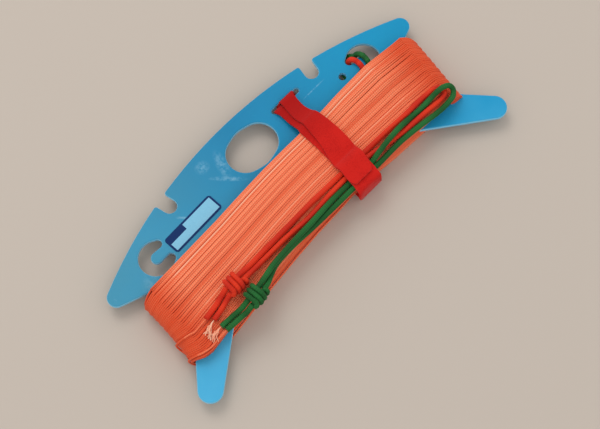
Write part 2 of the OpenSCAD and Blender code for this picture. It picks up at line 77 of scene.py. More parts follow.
def rowPoint(x, y, z):
    return Vector((x, y, z)) * mm


# Lengths are in millimetres; the origin is where the middle of the plate's face falls, in pixels
cameraView = {
    "width": 600,
    "height": 429,
    "distance": 803.7,
    "lens": 87.0,
    "yaw": 45.844,
    "tilt": 18.404,
    "origin": (295.1, 186.8),
    "sensor": 36,
    "nearest": 0.05,
}


def aimCamera(view):
    turn = Matrix.Rotation(math.radians(-view["yaw"]), 3, "Z")
    tilt = math.radians(view["tilt"])
    right = Vector((1, 0, 0))
    up = Vector((0, math.cos(tilt), math.sin(tilt)))
    ahead = Vector((0, math.sin(tilt), -math.cos(tilt)))
    pixel = view["sensor"] / view["width"] * view["distance"] / view["lens"]
    slideX = (view["origin"][0] - view["width"] / 2) * pixel
    slideY = (view["origin"][1] - view["height"] / 2) * pixel
    place = turn @ (ahead * -view["distance"] - right * slideX + up * slideY)
    camera = bpy.data.objects.new("camera", bpy.data.cameras.new("camera"))
    camera.data.lens = view["lens"]
    camera.data.clip_start = view["nearest"]
    bpy.context.scene.collection.objects.link(camera)
    axes = Matrix((turn @ right, turn @ up, turn @ -ahead)).transposed()
    camera.matrix_world = Matrix.Translation((place + Vector((0, 0, faceZ))) * mm) @ axes.to_4x4()
    bpy.context.scene.camera = camera


aimCamera(cameraView)
print("camera placed")


# Hex codes are sRGB, shader values are linear
def colour(code):
    parts = [int(code[i : i + 2], 16) / 255 for i in (1, 3, 5)]
    return [c / 12.92 if c <= 0.04045 else ((c + 0.055) / 1.055) ** 2.4 for c in parts] + [1]


# Adds a shader node with its settings, values, links and ramp stops, and gives its outputs
def add(material, kind, inputs=None, stops=(), **settings):
    tree = material.node_tree
    node = tree.nodes.new("ShaderNode" + kind)
    for name, value in settings.items():
        setattr(node, name, value)
    for name, value in (inputs or {}).items():
        if isinstance(value, bpy.types.NodeSocket):
            tree.links.new(value, node.inputs[name])
        else:
            node.inputs[name].default_value = value
    for i, (at, shade) in enumerate(stops):
        stop = node.color_ramp.elements[i] if i < 2 else node.color_ramp.elements.new(at)
        stop.position = at
        stop.color = shade
    return node.outputs


def newMaterial(name, sockets):
    material = bpy.data.materials.new(name)
    material.use_nodes = True
    surface = material.node_tree.nodes["Principled BSDF"]
    for socket, value in sockets.items():
        surface.inputs[socket].default_value = value
    return material, surface


def wire(material, output, socket):
    material.node_tree.links.new(output, socket)


# Moulded polypropylene: even blue, a soft gloss from the mould's skin, faint flow clouds and scuffs. Light
# is
# painted in: it is painted paler towards the lower left, paler and greyer towards the label along the grip's
# side and brighter towards its other end, and its rounded rims carry a painted highlight
def bluePolypropylene():
    look = {
        "base": "#006090",
        "light": "#0A94C6",
        "pale": "#52B6E0",
        "paintedLightAlong": (-0.35, -1, 0),
        "paintedLightSpan": (-60, 86),
        "gripPaintedPaleEnd": "#4292AF",
        "deep": "#1080AB",
        "gripPaintedLitEnd": "#0896C4",
        "gripSpan": (-100, 100),
        "gripFrom": (2, 14),
        "edge": "#8CD2F0",
        "scuff": "#9CCFE4",
        "cloudMm": 40,
        "skinMm": 0.5,
        "scuffMm": 9,
        "patchMm": 2.6,
        "markDepth": 2,
        # middle, half length and half width, angle and strength of each worn mark
        "marks": [
            (-28, 45, 5, 4.4, 0, 0.4), (-19, 38.5, 10, 3.8, 72, 0.4), (-22.5, 30, 12, 1.7, -46, 0.45),
            (-56.5, 32.2, 4, 1, -46, 0.55), (-96, 14, 12, 6, 60, 0.25), (49.6, 33.4, 9.5, 0.5, 0.6, 0.7),
        ],
    }
    black, white = (0, 0, 0, 1), (1, 1, 1, 1)
    material, surface = newMaterial(
        "moulded_blue_polypropylene",
        {
            "Roughness": 0.4,
            "IOR": 1.49,
            "Specular IOR Level": 0.18,
            "Subsurface Weight": 0.08,
            "Subsurface Radius": (0.001, 0.002, 0.003),
        },
    )
    spot = add(material, "TexCoord")
    place = spot["Object"]
    cloud = add(material, "TexNoise", {"Vector": place, "Scale": 1000 / look["cloudMm"], "Detail": 3})[0]
    # Painted light: the blue is painted paler towards the lower left, on top of the flow clouds
    low, high = [edge * mm for edge in look["paintedLightSpan"]]
    paintedLightLowerLeft = add(material, "VectorMath", {0: place, 1: look["paintedLightAlong"]}, operation="DOT_PRODUCT")[1]
    paintedLightLowerLeft = add(material, "MapRange", {0: paintedLightLowerLeft, 1: low, 2: high, 3: 0.0, 4: 0.7})[0]
    pale = add(material, "Math", {0: cloud, 1: 0.5, 2: paintedLightLowerLeft}, operation="MULTIPLY_ADD")[0]
    stops = [(0.1, colour(look["base"])), (0.5, colour(look["light"])), (1.0, colour(look["pale"]))]
    shade = add(material, "ValToRGB", {0: pale}, stops)[0]
    # Painted light along the grip's side: paler and greyer towards the label, brighter towards the far end
    split = add(material, "SeparateXYZ", {0: place})
    low, high = [edge * mm for edge in look["gripSpan"]]
    along = add(material, "MapRange", {0: split[0], 1: low, 2: high})[0]
    stops = [(0.1, colour(look["gripPaintedPaleEnd"])), (0.5, colour(look["deep"])), (0.9, colour(look["gripPaintedLitEnd"]))]
    gripPaintedLight = add(material, "ValToRGB", {0: along}, stops)[0]
    low, high = [edge * mm for edge in look["gripFrom"]]
    upper = add(material, "MapRange", {0: split[1], 1: low, 2: high})[0]
    uneven = add(material, "MapRange", {0: cloud, 1: 0.3, 2: 0.7, 3: 1.0, 4: 0.65})[0]
    share = add(material, "Math", {0: upper, 1: uneven}, operation="MULTIPLY")[0]
    shade = add(material, "Mix", {0: share, 6: shade, 7: gripPaintedLight}, data_type="RGBA")[2]
    fine = {"Vector": place, "Scale": 1000 / look["scuffMm"], "Detail": 8, "Roughness": 0.75}
    scuffed = add(material, "TexNoise", fine)[0]
    scuffed = add(material, "ValToRGB", {0: scuffed}, [(0.66, black), (0.8, (0.5, 0.5, 0.5, 1))])[0]
    shade = add(material, "Mix", {0: scuffed, 6: shade, 7: colour(look["scuff"])}, data_type="RGBA")[2]
    patch = {"Vector": place, "Scale": 1000 / look["patchMm"], "Detail": 5, "Roughness": 0.7}
    patchy = add(material, "TexNoise", patch)[0]
    patchy = add(material, "ValToRGB", {0: patchy}, [(0.38, black), (0.62, white)])[0]
    for x, y, reach, width, turn, strength in look["marks"]:
        around = {
            "Vector": place,
            "Location": rowPoint(x, y, faceZ),
            "Rotation": (0, 0, math.radians(turn)),
            "Scale": rowPoint(reach, width, look["markDepth"]),
        }
        near = add(material, "Mapping", around, vector_type="TEXTURE")[0]
        far = add(material, "VectorMath", {0: near}, operation="LENGTH")[1]
        mark = add(material, "MapRange", {0: far, 1: 0.2, 2: 1.0, 3: strength, 4: 0.0})[0]
        mask = add(material, "Math", {0: mark, 1: patchy}, operation="MULTIPLY")[0]
        shade = add(material, "Mix", {0: mask, 6: shade, 7: colour(look["scuff"])}, data_type="RGBA")[2]
    # Painted highlight: the rounded rims, where the normal turns away from the faces, are painted paler
    faced = add(material, "SeparateXYZ", {0: spot["Normal"]})[2]
    level = add(material, "Math", {0: faced}, operation="ABSOLUTE")[0]
    rim = add(material, "ValToRGB", {0: level}, [(0.5, (0.8, 0.8, 0.8, 1)), (0.95, black)])[0]
    shade = add(material, "Mix", {0: rim, 6: shade, 7: colour(look["edge"])}, data_type="RGBA")[2]
    wire(material, shade, surface.inputs["Base Color"])
    skin = add(material, "TexNoise", {"Vector": place, "Scale": 1000 / look["skinMm"], "Detail": 2})[0]
    bump = add(material, "Bump", {"Height": skin, "Strength": 0.12, "Distance": 0.0001})[0]
    wire(material, bump, surface.inputs["Normal"])
    return material


# Coated sticker paper: pale blue field, navy border and a bare navy block in one corner
def printedLabel():
    look = {
        "field": "#86C6E2",
        "faded": "#7FC0DE",
        "navy": "#042C62",
        "wearMm": 1.11,
        "length": 36.0,
        "width": 10.6,
        "tilt": 2.3,
        "border": 1.2,
        "block": (13.5, 4.6),
    }
    low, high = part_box("label")
    material, surface = newMaterial("printed_label_paper", {"Roughness": 0.45, "Specular IOR Level": 0.12})
    place = add(material, "TexCoord")["Object"]
    lying = {"Vector": place, "Location": (low + high) / 2, "Rotation": (0, 0, math.radians(look["tilt"]))}
    across = add(material, "SeparateXYZ", {0: add(material, "Mapping", lying, vector_type="TEXTURE")[0]})
    halfL, halfW, edge = look["length"] / 2 * mm, look["width"] / 2 * mm, look["border"] * mm
    blockL, blockW = [size * mm for size in look["block"]]
    sides = []
    for axis, reach in ((0, halfL), (1, halfW)):
        away = add(material, "Math", {0: across[axis]}, operation="ABSOLUTE")[0]
        sides.append(add(material, "Math", {0: away, 1: reach - edge}, operation="GREATER_THAN")[0])
    rim = add(material, "Math", {0: sides[0], 1: sides[1]}, operation="MAXIMUM")[0]
    left = add(material, "Math", {0: across[0], 1: blockL - halfL}, operation="LESS_THAN")[0]
    top = add(material, "Math", {0: across[1], 1: halfW - blockW}, operation="GREATER_THAN")[0]
    block = add(material, "Math", {0: left, 1: top}, operation="MULTIPLY")[0]
    navy = add(material, "Math", {0: rim, 1: block}, operation="MAXIMUM")[0]
    wear = add(material, "TexNoise", {"Vector": place, "Scale": 1000 / look["wearMm"], "Detail": 4})[0]
    stops = [(0.3, colour(look["faded"])), (0.7, colour(look["field"]))]
    field = add(material, "ValToRGB", {0: wear}, stops)[0]
    shade = add(material, "Mix", {0: navy, 6: field, 7: colour(look["navy"])}, data_type="RGBA")[2]
    wire(material, shade, surface.inputs["Base Color"])
    return material


# Braided fibre: yarns cross in two spirals, so each line catches light in small beads, drawn coarser than
# the real ones so that they show; the beads' crests are also painted paler, a painted highlight. The
# attribute strandShade makes one turn a little lighter than the next, and it carries the winding's painted
# shade
def braidedFibre(name, look):
    sockets = {"Roughness": 0.6, "Specular IOR Level": 0.2, "Sheen Weight": 0.05}
    material, surface = newMaterial(name, sockets)
    along = add(material, "SeparateXYZ", {0: add(material, "UVMap", uv_map="braid")[0]})
    around = add(material, "Math", {0: along[0], 1: look["yarns"]}, operation="MULTIPLY")[0]
    length = add(material, "Math", {0: along[1], 1: 1 / look["pitchMm"]}, operation="MULTIPLY")[0]
    beads = []
    for step in ("ADD", "SUBTRACT"):
        spiral = add(material, "Math", {0: around, 1: length}, operation=step)[0]
        wave = add(material, "Math", {0: spiral, 1: math.pi}, operation="MULTIPLY")[0]
        beads.append(add(material, "Math", {0: wave}, operation="SINE")[0])
    yarn = add(material, "Math", {0: beads[0], 1: beads[1]}, operation="MULTIPLY")[0]
    height = add(material, "Math", {0: yarn, 1: 0.5, 2: 0.5}, operation="MULTIPLY_ADD")[0]
    strand = add(material, "Attribute", attribute_name="strandShade")["Fac"]
    stops = [(0.0, colour(look["dark"])), (0.7, colour(look["light"])), (1.0, colour(look["worn"]))]
    base = add(material, "ValToRGB", {0: strand}, stops)[0]
    share = add(material, "Math", {0: strand, 1: look["beads"], 2: 0.06}, operation="MULTIPLY_ADD")[0]
    lit = add(material, "Math", {0: height, 1: share}, operation="MULTIPLY")[0]
    shade = add(material, "Mix", {0: lit, 6: base, 7: colour(look["beadHighlight"])}, data_type="RGBA")[2]
    wire(material, shade, surface.inputs["Base Color"])
    bump = add(material, "Bump", {"Height": height, "Strength": 0.8, "Distance": look["depthMm"] * mm})[0]
    wire(material, bump, surface.inputs["Normal"])
    return material


orangePolyester = {
    "dark": "#DE4410", "light": "#FA6C34", "worn": "#FFD2B2", "beadHighlight": "#FFC8A6",
    "yarns": 4, "pitchMm": 1.3, "depthMm": 0.1, "beads": 0.65,
}
redSleeving = {
    "dark": "#B61403", "light": "#D62608", "worn": "#DE3010", "beadHighlight": "#F04E22",
    "yarns": 8, "pitchMm": 1.3, "depthMm": 0.14, "beads": 0.5,
}
greenSleeving = {
    "dark": "#0A4518", "light": "#125A22", "worn": "#186A2C", "beadHighlight": "#328442",
    "yarns": 8, "pitchMm": 1.3, "depthMm": 0.14, "beads": 0.5,
}


# Hook-and-loop tape: brushed nylon loops, matt, with a soft sheen and a fine uneven nap, darker towards the
# slot
def loopTape():
    look = {
        "dark": "#B4120E",
        "light": "#CE1E16",
        "darkTowardsSlot": "#A00E0E",
        "darkTowardsSlotSpan": (5, 30),
        "napMm": 0.7,
        "cloudMm": 12,
    }
    sockets = {"Roughness": 0.85, "Sheen Weight": 0.08, "Specular IOR Level": 0.12}
    material, surface = newMaterial("hook_and_loop_tape", sockets)
    place = add(material, "TexCoord")["Object"]
    nap = add(material, "TexNoise", {"Vector": place, "Scale": 1000 / look["napMm"], "Detail": 5})[0]
    cloud = add(material, "TexNoise", {"Vector": place, "Scale": 1000 / look["cloudMm"], "Detail": 3})[0]
    both = add(material, "Math", {0: nap, 1: cloud}, operation="ADD")[0]
    stops = [(0.6, colour(look["dark"])), (1.0, colour(look["light"]))]
    shade = add(material, "ValToRGB", {0: both}, stops)[0]
    # the tape is drawn darker towards the slot
    low, high = [edge * mm for edge in look["darkTowardsSlotSpan"]]
    across = add(material, "SeparateXYZ", {0: place})[1]
    darkTowardsSlot = add(material, "MapRange", {0: across, 1: low, 2: high, 3: 0.0, 4: 0.75})[0]
    shade = add(material, "Mix", {0: darkTowardsSlot, 6: shade, 7: colour(look["darkTowardsSlot"])}, data_type="RGBA")[2]
    wire(material, shade, surface.inputs["Base Color"])
    bump = add(material, "Bump", {"Height": nap, "Strength": 0.7, "Distance": 0.0004})[0]
    wire(material, bump, surface.inputs["Normal"])
    return material


materials = {
    "plate": bluePolypropylene(),
    "label": printedLabel(),
    "line": braidedFibre("braided_orange_polyester", orangePolyester),
    "red": braidedFibre("braided_red_sleeving", redSleeving),
    "green": braidedFibre("braided_green_sleeving", greenSleeving),
    "tape": loopTape(),
}
print("materials made")


# A smooth curve through the points, its slope held back where a short span meets a long one
def throughPoints(points, steps, closed=False):
    count = len(points)
    spans = count if closed else count - 1
    longest = 2.5  # of a slope, in lengths of the span beside it
    same = 1e-9

    def at(i):
        return points[i % count] if closed else points[max(0, min(i, count - 1))]

    def slope(i):
        back, ahead = at(i) - at(i - 1), at(i + 1) - at(i)
        if back.length < same:
            return ahead.normalized()
        if ahead.length < same:
            return back.normalized()
        mix = back.normalized() * ahead.length + ahead.normalized() * back.length
        return mix / (back.length + ahead.length)

    route = []
    for i in range(spans):
        a, b = at(i), at(i + 1)
        span = (b - a).length
        before, after = (a - at(i - 1)).length or span, (at(i + 2) - b).length or span
        leave = slope(i) * min(span, longest * before)
        arrive = slope(i + 1) * min(span, longest * after)
        for j in range(steps):
            t = j / steps
            route.append(
                a * (2 * t**3 - 3 * t**2 + 1)
                + leave * (t**3 - 2 * t**2 + t)
                + b * (3 * t**2 - 2 * t**3)
                + arrive * (t**3 - t**2)
            )
    if not closed:
        route.append(points[-1].copy())
    return route


# Where a cord's ring stands at each point of its route, carried along without a twist
def ringPlaces(route, closed):
    count = len(route)
    places = []
    side = Vector((0, 0, 1))
    for i in range(count):
        ahead = route[(i + 1) % count] if closed or i < count - 1 else route[i]
        back = route[i - 1] if closed or i > 0 else route[i]
        forward = (ahead - back).normalized()
        side = (side - forward * side.dot(forward)).normalized()
        place = Matrix((side, forward.cross(side), forward)).transposed().to_4x4()
        place.translation = route[i]
        places.append(place)
    return places


# Sweeps a ring along each route by extruding it station by station. The braid map runs round the cord once,
# and along it in millimetres
def sweep(name, routes, radius, sides, shades, closed=False):
    bm = bmesh.new()
    uv = bm.loops.layers.uv.new("braid")
    shade = bm.verts.layers.float.new("strandShade")
    for route, tones in zip(routes, shades):
        places = ringPlaces(route, closed)
        ring = bmesh.ops.create_circle(bm, segments=sides, radius=radius * mm)["verts"]
        home = [v.co.copy() for v in ring]
        first = set(ring)
        for v, spot in zip(ring, home):
            v.co = places[0] @ spot
        rings = [ring]
        edges = [e for e in bm.edges if e.verts[0] in first and e.verts[1] in first]
        for place in places[1:]:
            grown = bmesh.ops.extrude_edge_only(bm, edges=edges)["geom"]
            fresh = {v for v in grown if isinstance(v, bmesh.types.BMVert)}
            edges = [e for e in grown if isinstance(e, bmesh.types.BMEdge)]
            edges = [e for e in edges if e.verts[0] in fresh and e.verts[1] in fresh]
            following = {}
            for old in ring:
                for e in old.link_edges:
                    if e.other_vert(old) in fresh:
                        following[old] = e.other_vert(old)
            ring = [following[v] for v in ring]
            for v, spot in zip(ring, home):
                v.co = place @ spot
            rings.append(ring)
        if closed:
            opening = [e for e in bm.edges if e.verts[0] in first and e.verts[1] in first]
            bmesh.ops.bridge_loops(bm, edges=edges + opening)
        else:
            bmesh.ops.holes_fill(bm, edges=[e for e in bm.edges if len(e.link_faces) == 1], sides=0)
        along, run = {}, 0.0
        for i, ring in enumerate(rings):
            if i:
                run += (route[i] - route[i - 1]).length / mm
            for number, v in enumerate(ring):
                along[v] = (number / sides, run)
                v[shade] = tones[i]
        for face in bm.faces:
            if all(v in along for v in face.verts):
                spots = [along[loop.vert] for loop in face.loops]
                wraps = max(s[0] for s in spots) - min(s[0] for s in spots) > 0.5
                for loop, (u, v) in zip(face.loops, spots):
                    loop[uv].uv = (u + 1 if wraps and u < 0.5 else u, v)
    bmesh.ops.recalc_face_normals(bm, faces=bm.faces)
    mesh = bpy.data.meshes.new(name)
    bm.to_mesh(mesh)
    bm.free()
    for polygon in mesh.polygons:
        polygon.use_smooth = len(polygon.vertices) < 5
    piece = bpy.data.objects.new(name, mesh)
    bpy.context.scene.collection.objects.link(piece)
    return piece


def dress(piece, material, body, node):
    piece.data.materials.clear()
    piece.data.materials.append(material)
    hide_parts(node)
    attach(piece, body)


strap = {
    "x": 31.0,
    "width": 16.6,
    "thick": 1.2,
    "press": 1.0,  # how far it presses the turns in
    "pressRoom": 0.8,  # the pressed stretch is this much longer than the tape, on each side
    "ramp": 15.0,  # the turns rise again over this length
    "slotX": 33.1,
    "slotY": 40.0,
    "sleeves": (-15.2, -25.6),  # y of the highest and the lowest sleeve under it
    "sideGap": 1.06,  # from the lowest sleeve to its lower side
    "tailGap": 0.35,  # from its front layer to the tail
    "edge": 0.35,
}
sleeve = {"d": 3.2, "sides": 16, "shade": 0.5, "shadeSwing": 0.25, "shadeStep": 0.35}
sleeveZ = topZ + sleeve["d"] / 2 + layGap

# Route points are x, y and lift: lift 0 lies on the winding, lift 1 on another sleeve
redRoute = [
    (-64.5, -16.4, 0.89), (-58.8, -16.2, 0.8), (-53, -16.1, 0.3), (-45, -15.8, 0), (-20, -15.3, 0),
    (7, -15, 0), (21, -15, 0), (41, -15.4, 0), (56, -15.9, 0), (70, -16.5, 0), (84, -16.6, 0),
    (90, -17.1, 0), (93.5, -17.5, 0), (96.1, -18.8, 0), (97.2, -21, 0), (96.2, -23.2, 0), (93.6, -24.3, 0),
    (90, -24.4, 0),
    (80, -23.7, 0), (70, -23.2, 0), (60, -22.2, 0), (50, -20.9, 0), (41, -18.8, 0),
    (21, -18.5, 0), (7, -19.1, 0), (-10, -20.2, 0), (-24, -19.3, 0), (-45, -19.2, 0),
    (-53, -19.4, 0.3), (-59.3, -19.6, 0.85),
]
greenRoute = [
    (-61.3, -28.9, 0.89), (-55.5, -28, 0.92), (-50, -26.9, 1.05), (-45, -25.8, 1.03),
    (-28, -24.3, 1.03), (-12, -23.6, 0.9), (6, -22.3, 0.3), (21, -22, 0), (38, -22.3, 0.05),
    (43.5, -21.8, 0.9), (50, -21, 1.05), (57, -20.4, 1.05), (64, -20, 0.85), (71, -19.8, 0.05),
    (82, -20.3, 0.05), (88, -20.4, 0.5), (92.5, -20.6, 1.05), (97, -21.2, 1.08),
    (100.2, -22.8, 0.8), (100.8, -25.3, 0.25), (98.6, -27.6, 0), (93, -28.7, 0), (84, -28.5, 0),
    (76, -27.4, 0), (58, -25.6, 0), (39, -25.6, 0), (21, -25.4, 0), (7, -25.6, 0),
    (-12, -25.4, 0), (-28, -24.9, 0), (-42, -26, 0), (-48, -28.3, 0.05), (-52, -30.2, 0.35),
    (-55.8, -31.3, 0.85),
]
redTailRoutes = [
    [(-64.8, -16.4, 0.89), (-70, -16.7, 0.87), (-75, -17.6, 0.2), (-80, -18.7, 0), (-88.6, -20.2, 0)],
    [(-69.8, -20, 0.85), (-74.5, -21.2, 0.2), (-79, -22.3, 0), (-86, -23.7, 0)],
]
greenTailRoutes = [
    [(-66.1, -33, 0.85), (-70, -33.2, 0.25), (-75, -32.9, 0), (-85.2, -32.4, 0)],
    [(-61.6, -28.95, 0.89), (-67.2, -29.7, 0.87), (-71.5, -29.8, 0.25), (-77, -29.4, 0), (-85.8, -29, 0)],
]
tagRoutes = [
    [(-86, -23.7, 0), (-88.6, -24.2, -0.12), (-91.4, -25.6, -0.22), (-94, -27.6, -0.3)],
    [(-85.8, -29, 0), (-88.4, -29.1, -0.12), (-91.2, -29.8, -0.22), (-93.6, -31, -0.3)],
]
knotPlaces = {"red": (-64.6, -18, 2), "green": (-61.2, -30.5, 9)}  # x, y and heading in degrees


def pressedAt(x):
    away = abs(x - strap["x"]) - strap["width"] / 2 - strap["pressRoom"]
    return 1 if away <= 0 else max(0, 1 - away / strap["ramp"])


def laid(route, steps=6):
    points = [
        rowPoint(x, y, sleeveZ + lift * sleeve["d"] - strap["press"] * pressedAt(x)) for x, y, lift in route
    ]
    return throughPoints(points, steps)


def softShades(count):
    start = chance.uniform(0, 6)
    swing, step = sleeve["shadeSwing"], sleeve["shadeStep"]
    return [sleeve["shade"] + swing * math.sin(start + i * step) for i in range(count)]


knot = {
    "strand": 2.8,
    "wraps": 3,
    "perWrap": 12,
    "start": 60,  # degrees from the wrapping strand's own side to the first and the last wrap
    "flat": 2.5,  # how soon a wrap turns flat between the two middle strands
    # the bend into the wraps: how far it is out, how far past the last wrap, and its angle
    "bend": ((0.2, 1.2, -40), (0.58, 1.45, -8), (0.9, 0.9, 26)),
}


# Barrel knot round the doubled sleeve: one of the two middle strands turns out at each end and wraps both
def knotRoute(place):
    side = sleeve["d"] / 2
    wrapR = (knot["strand"] + sleeve["d"]) / 2 + layGap / 2
    own, start = 180, knot["start"]
    turn = 360 * knot["wraps"] - 2 * start
    half = (knot["strand"] + layGap) * turn / 360 / 2
    height = topZ + wrapR + knot["strand"] / 2 + layGap
    count = knot["perWrap"] * turn // 360
    heading = Matrix.Rotation(math.radians(place[2]), 3, "Z")

    def spot(x, share, degrees):
        a = math.radians(degrees)
        y = side * max(-1, min(1, knot["flat"] * math.cos(a))) + wrapR * math.cos(a)
        return Vector((x, share * y - (1 - share) * side, share * wrapR * math.sin(a)))

    points = [Vector((x * half, -side, 0)) for x in (-1, 0, 1)]
    points += [spot(half + past, share, own + a) for share, past, a in knot["bend"]]
    for i in range(count + 1):
        points.append(spot(half * (1 - 2 * i / count), 1, own + start + turn * i / count))
    points += [spot(-half - past, share, own - a) for share, past, a in reversed(knot["bend"])]
    middle = Vector((*place[:2], height))
    return throughPoints([(heading @ p + middle) * mm for p in points], 4, closed=True)


def sleevedEnd(name, route, tails, place):
    material, slot = materials[name], name + "_sleeve"
    path = laid(route)
    loop = sweep(name + "SleeveLoop", [path], sleeve["d"] / 2, sleeve["sides"], [softShades(len(path))])
    dress(loop, material, "winder", name + "_sleeve_loop")
    tied = knotRoute(place)
    tones = [softShades(len(tied))]
    lump = sweep(name + "Knot", [tied], knot["strand"] / 2, sleeve["sides"], tones, closed=True)
    dress(lump, material, "winder", name + "_knot")
    ends = [laid(tail, 8) for tail in tails]
    tones = [softShades(len(end)) for end in ends]
    tailPair = sweep(name + "SleeveTails", ends, sleeve["d"] / 2, sleeve["sides"], tones)
    dress(tailPair, material, "winder", name + "_sleeve_tails")
    return loop, path, [lump, tailPair]


redLoop, redPath, redExtras = sleevedEnd("red", redRoute, redTailRoutes, knotPlaces["red"])
greenLoop, greenPath, greenExtras = sleevedEnd("green", greenRoute, greenTailRoutes, knotPlaces["green"])

fray = {
    "fibres": 14,
    "radius": 0.25,
    "spread": 3.3,
    "curl": (0.8, 1.6),
    "wave": 0.55,
    "waves": (9, 7),  # radians along a fibre, across and up
    "palest": 1.0,
    "darkest": 0.75,
}


# The cut ends have come unlaid: each is a spray of its fibres, worn pale
def frayed(route):
    paths = []
    for _ in range(fray["fibres"]):
        aside = Vector((chance.uniform(-0.5, 0.5), chance.uniform(-1, 1), chance.uniform(-0.15, 0.5)))
        curl = chance.uniform(*fray["curl"])
        path = []
        for i, p in enumerate(route):
            t = i / (len(route) - 1)
            across, up = [t * curl * turns for turns in fray["waves"]]
            wave = Vector((0, math.sin(across), math.cos(up))) * fray["wave"] * t
            path.append(p + (aside * fray["spread"] * t * t + wave) * mm)
        paths.append(path)
    return paths


tagPaths = [path for route in tagRoutes for path in frayed(laid(route))]
tagShades = [[chance.uniform(fray["darkest"], fray["palest"])] * len(path) for path in tagPaths]
tags = sweep("lineTagEnds", tagPaths, fray["radius"], 6, tagShades)
dress(tags, materials["line"], "winder", "line_tag_ends")

# The lines' other ends hook over the tongue of the right catch, and end under the winding's upper edge
windY = 17.7  # upper edge of the winding
overZ = faceZ + sleeve["d"] / 2 + layGap
underZ = backZ - sleeve["d"] / 2 - layGap
startRoutes = {
    "red": [
        (72.4, windY - 1.7, underZ), (73.2, 21, underZ), (74, 26, underZ), (74.8, 29.4, underZ),
        (76, 31.4, midZ), (77.2, 30.4, overZ - 0.7), (78.2, 28, overZ), (78.4, 26, overZ),
        (78.3, 24.4, overZ), (78, 22.6, overZ - 0.3), (77.5, 20.9, midZ + 0.4),
        (77.5, 19.2, underZ + 0.1), (78, windY - 0.6, underZ),
    ],
    "green": [
        (68.2, windY - 1.7, underZ), (69.1, 24, underZ), (69.3, 28, underZ), (70.8, 32.6, underZ),
        (75.6, 35.4, underZ), (79, 34.6, underZ), (80.8, 31.6, midZ - 0.4),
        (82.2, 30.3, overZ - 0.6), (83.2, 28, overZ), (83.4, 26, overZ),
        (83.2, 24.2, overZ), (82.7, 22.4, overZ - 0.2), (82, 20.7, midZ + 0.5),
        (81.9, 19.1, underZ + 0.1), (82.4, windY - 0.6, underZ),
    ],
}
for name, points in startRoutes.items():
    path = throughPoints([rowPoint(*p) for p in points], 8)
    hooked = sweep(name + "StartLoop", [path], sleeve["d"] / 2, sleeve["sides"], [softShades(len(path))])
    dress(hooked, materials[name], "winder", name + "_start_loop")
print("sleeved cords laid")

# Seats are the places across the plate that the turns lie in, counted from the upper edge
winding = {
    "edgeY": windY,
    "firstSeat": 0.75,  # from the edge to seat 0
    "seats": 24,
    "seatPitch": 1.96,
    "throatX": 96.0,
    "over": 9.5,  # how far the ends stand out past the plate's throats
    "lineD": 1.1,
    "turns": 22,  # of each line in the outer layer
    "envelope": 0.65,  # depth of the coarse line's middle under the winding's surface
    "sink": 0.2,
    "sway": 0.3,
    "slide": (3.4, -1.2),  # how far the lowest turn slips outward at the left and the right end
    "crown": (5.2, 20),  # how far the top turn stands out at the right end, and the seats it takes to fade
    "bundle": (2.24, 0.5),  # seats from one bulge to the next round the ends, and their height
    "endSeats": ((12.0, 0.895), (13.6, 0.95)),  # upper edge and closeness halfway round, left and right
    "endCurve": 1.3,
    "backStep": (0.06, 0.94),  # a turn moves on to its next seat between these shares of the back
    "shades": (0.15, 0.85, 0.5),  # darkest and palest turn, and the usual one
    # painted shade: turns are drawn darker round both ends of the winding and where the runs meet them
    "endPaintedShade": 0.15,
}
layH = windT - winding["envelope"]
endR = layH + (faceZ - backZ) / 2
runX = winding["throatX"] + winding["over"] - endR
pressX = strap["width"] / 2 + strap["pressRoom"]
riseX = strap["width"] / 2 + strap["ramp"]
surfaceOff = winding["envelope"] - winding["lineD"] / 2
# Stations along the front: x, drift of the upper edge, closeness, pressed by the strap
stations = [
    (-runX, -3.6, 1.045, 0),
    (-75, -2.7, 0.99, 0),
    (-45, -1.5, 0.95, 0),
    (-15, 0.6, 0.932, 0),
    (strap["x"] - riseX, 1.2, 0.93, 0),
    (strap["x"] - pressX, 1.5, 0.935, 1),
    (strap["x"] + pressX, 2.2, 0.965, 1),
    (strap["x"] + riseX, 2.9, 1.01, 0),
    (winding["throatX"] - 18, 3.6, 1.055, 0),
    (runX, 1.6, 1.04, 0),
]
runStops = [-runX, -82, -64, -45, -25, -8, 7.7, 12, 16, 20, 31, 42, 46, 50, 55, 66, 78, runX]
endStops = range(80, -81, -20)


def stationAt(x):
    for (xa, *a), (xb, *b) in zip(stations, stations[1:]):
        if x <= xb:
            t = max(0, (x - xa) / (xb - xa))
            return [p + (q - p) * w for p, q, w in zip(a, b, (t, t, t * t * (3 - 2 * t)))]
    return stations[-1][1:]


def runSpot(x, seat, front, off):
    drift, closeness, pressed = stationAt(x)
    y = winding["edgeY"] - winding["firstSeat"] + drift - seat * winding["seatPitch"] * closeness
    if front:
        return Vector((x, y, faceZ + layH + off - strap["press"] * pressed))
    # at the back the turns make room for the strap, so that it lies level with them
    return Vector((x, y, backZ - layH - off + (strap["thick"] + layGap) * pressed))


def endSpot(side, degrees, seat, off):
    angle = math.radians(degrees)
    startY, closeness = winding["endSeats"][side > 0]
    runY = runSpot(side * runX, seat, True, 0).y
    turnY = startY - winding["firstSeat"] - seat * winding["seatPitch"] * closeness
    out = winding["slide"][side > 0] * (max(0, seat) / (winding["seats"] - 1)) ** 2
    if side > 0:
        highest, fades = winding["crown"]
        out += highest * min(1, max(0, 1 - seat / fades))
    apart, height = winding["bundle"]
    out += height * abs(math.sin(math.pi * seat / apart)) * math.cos(angle)
    return Vector(
        (
            side * (runX + out + (endR + off) * math.cos(angle)),
            runY + (turnY - runY) * math.cos(angle) ** winding["endCurve"],
            midZ + (endR + off) * math.sin(angle),
        )
    )


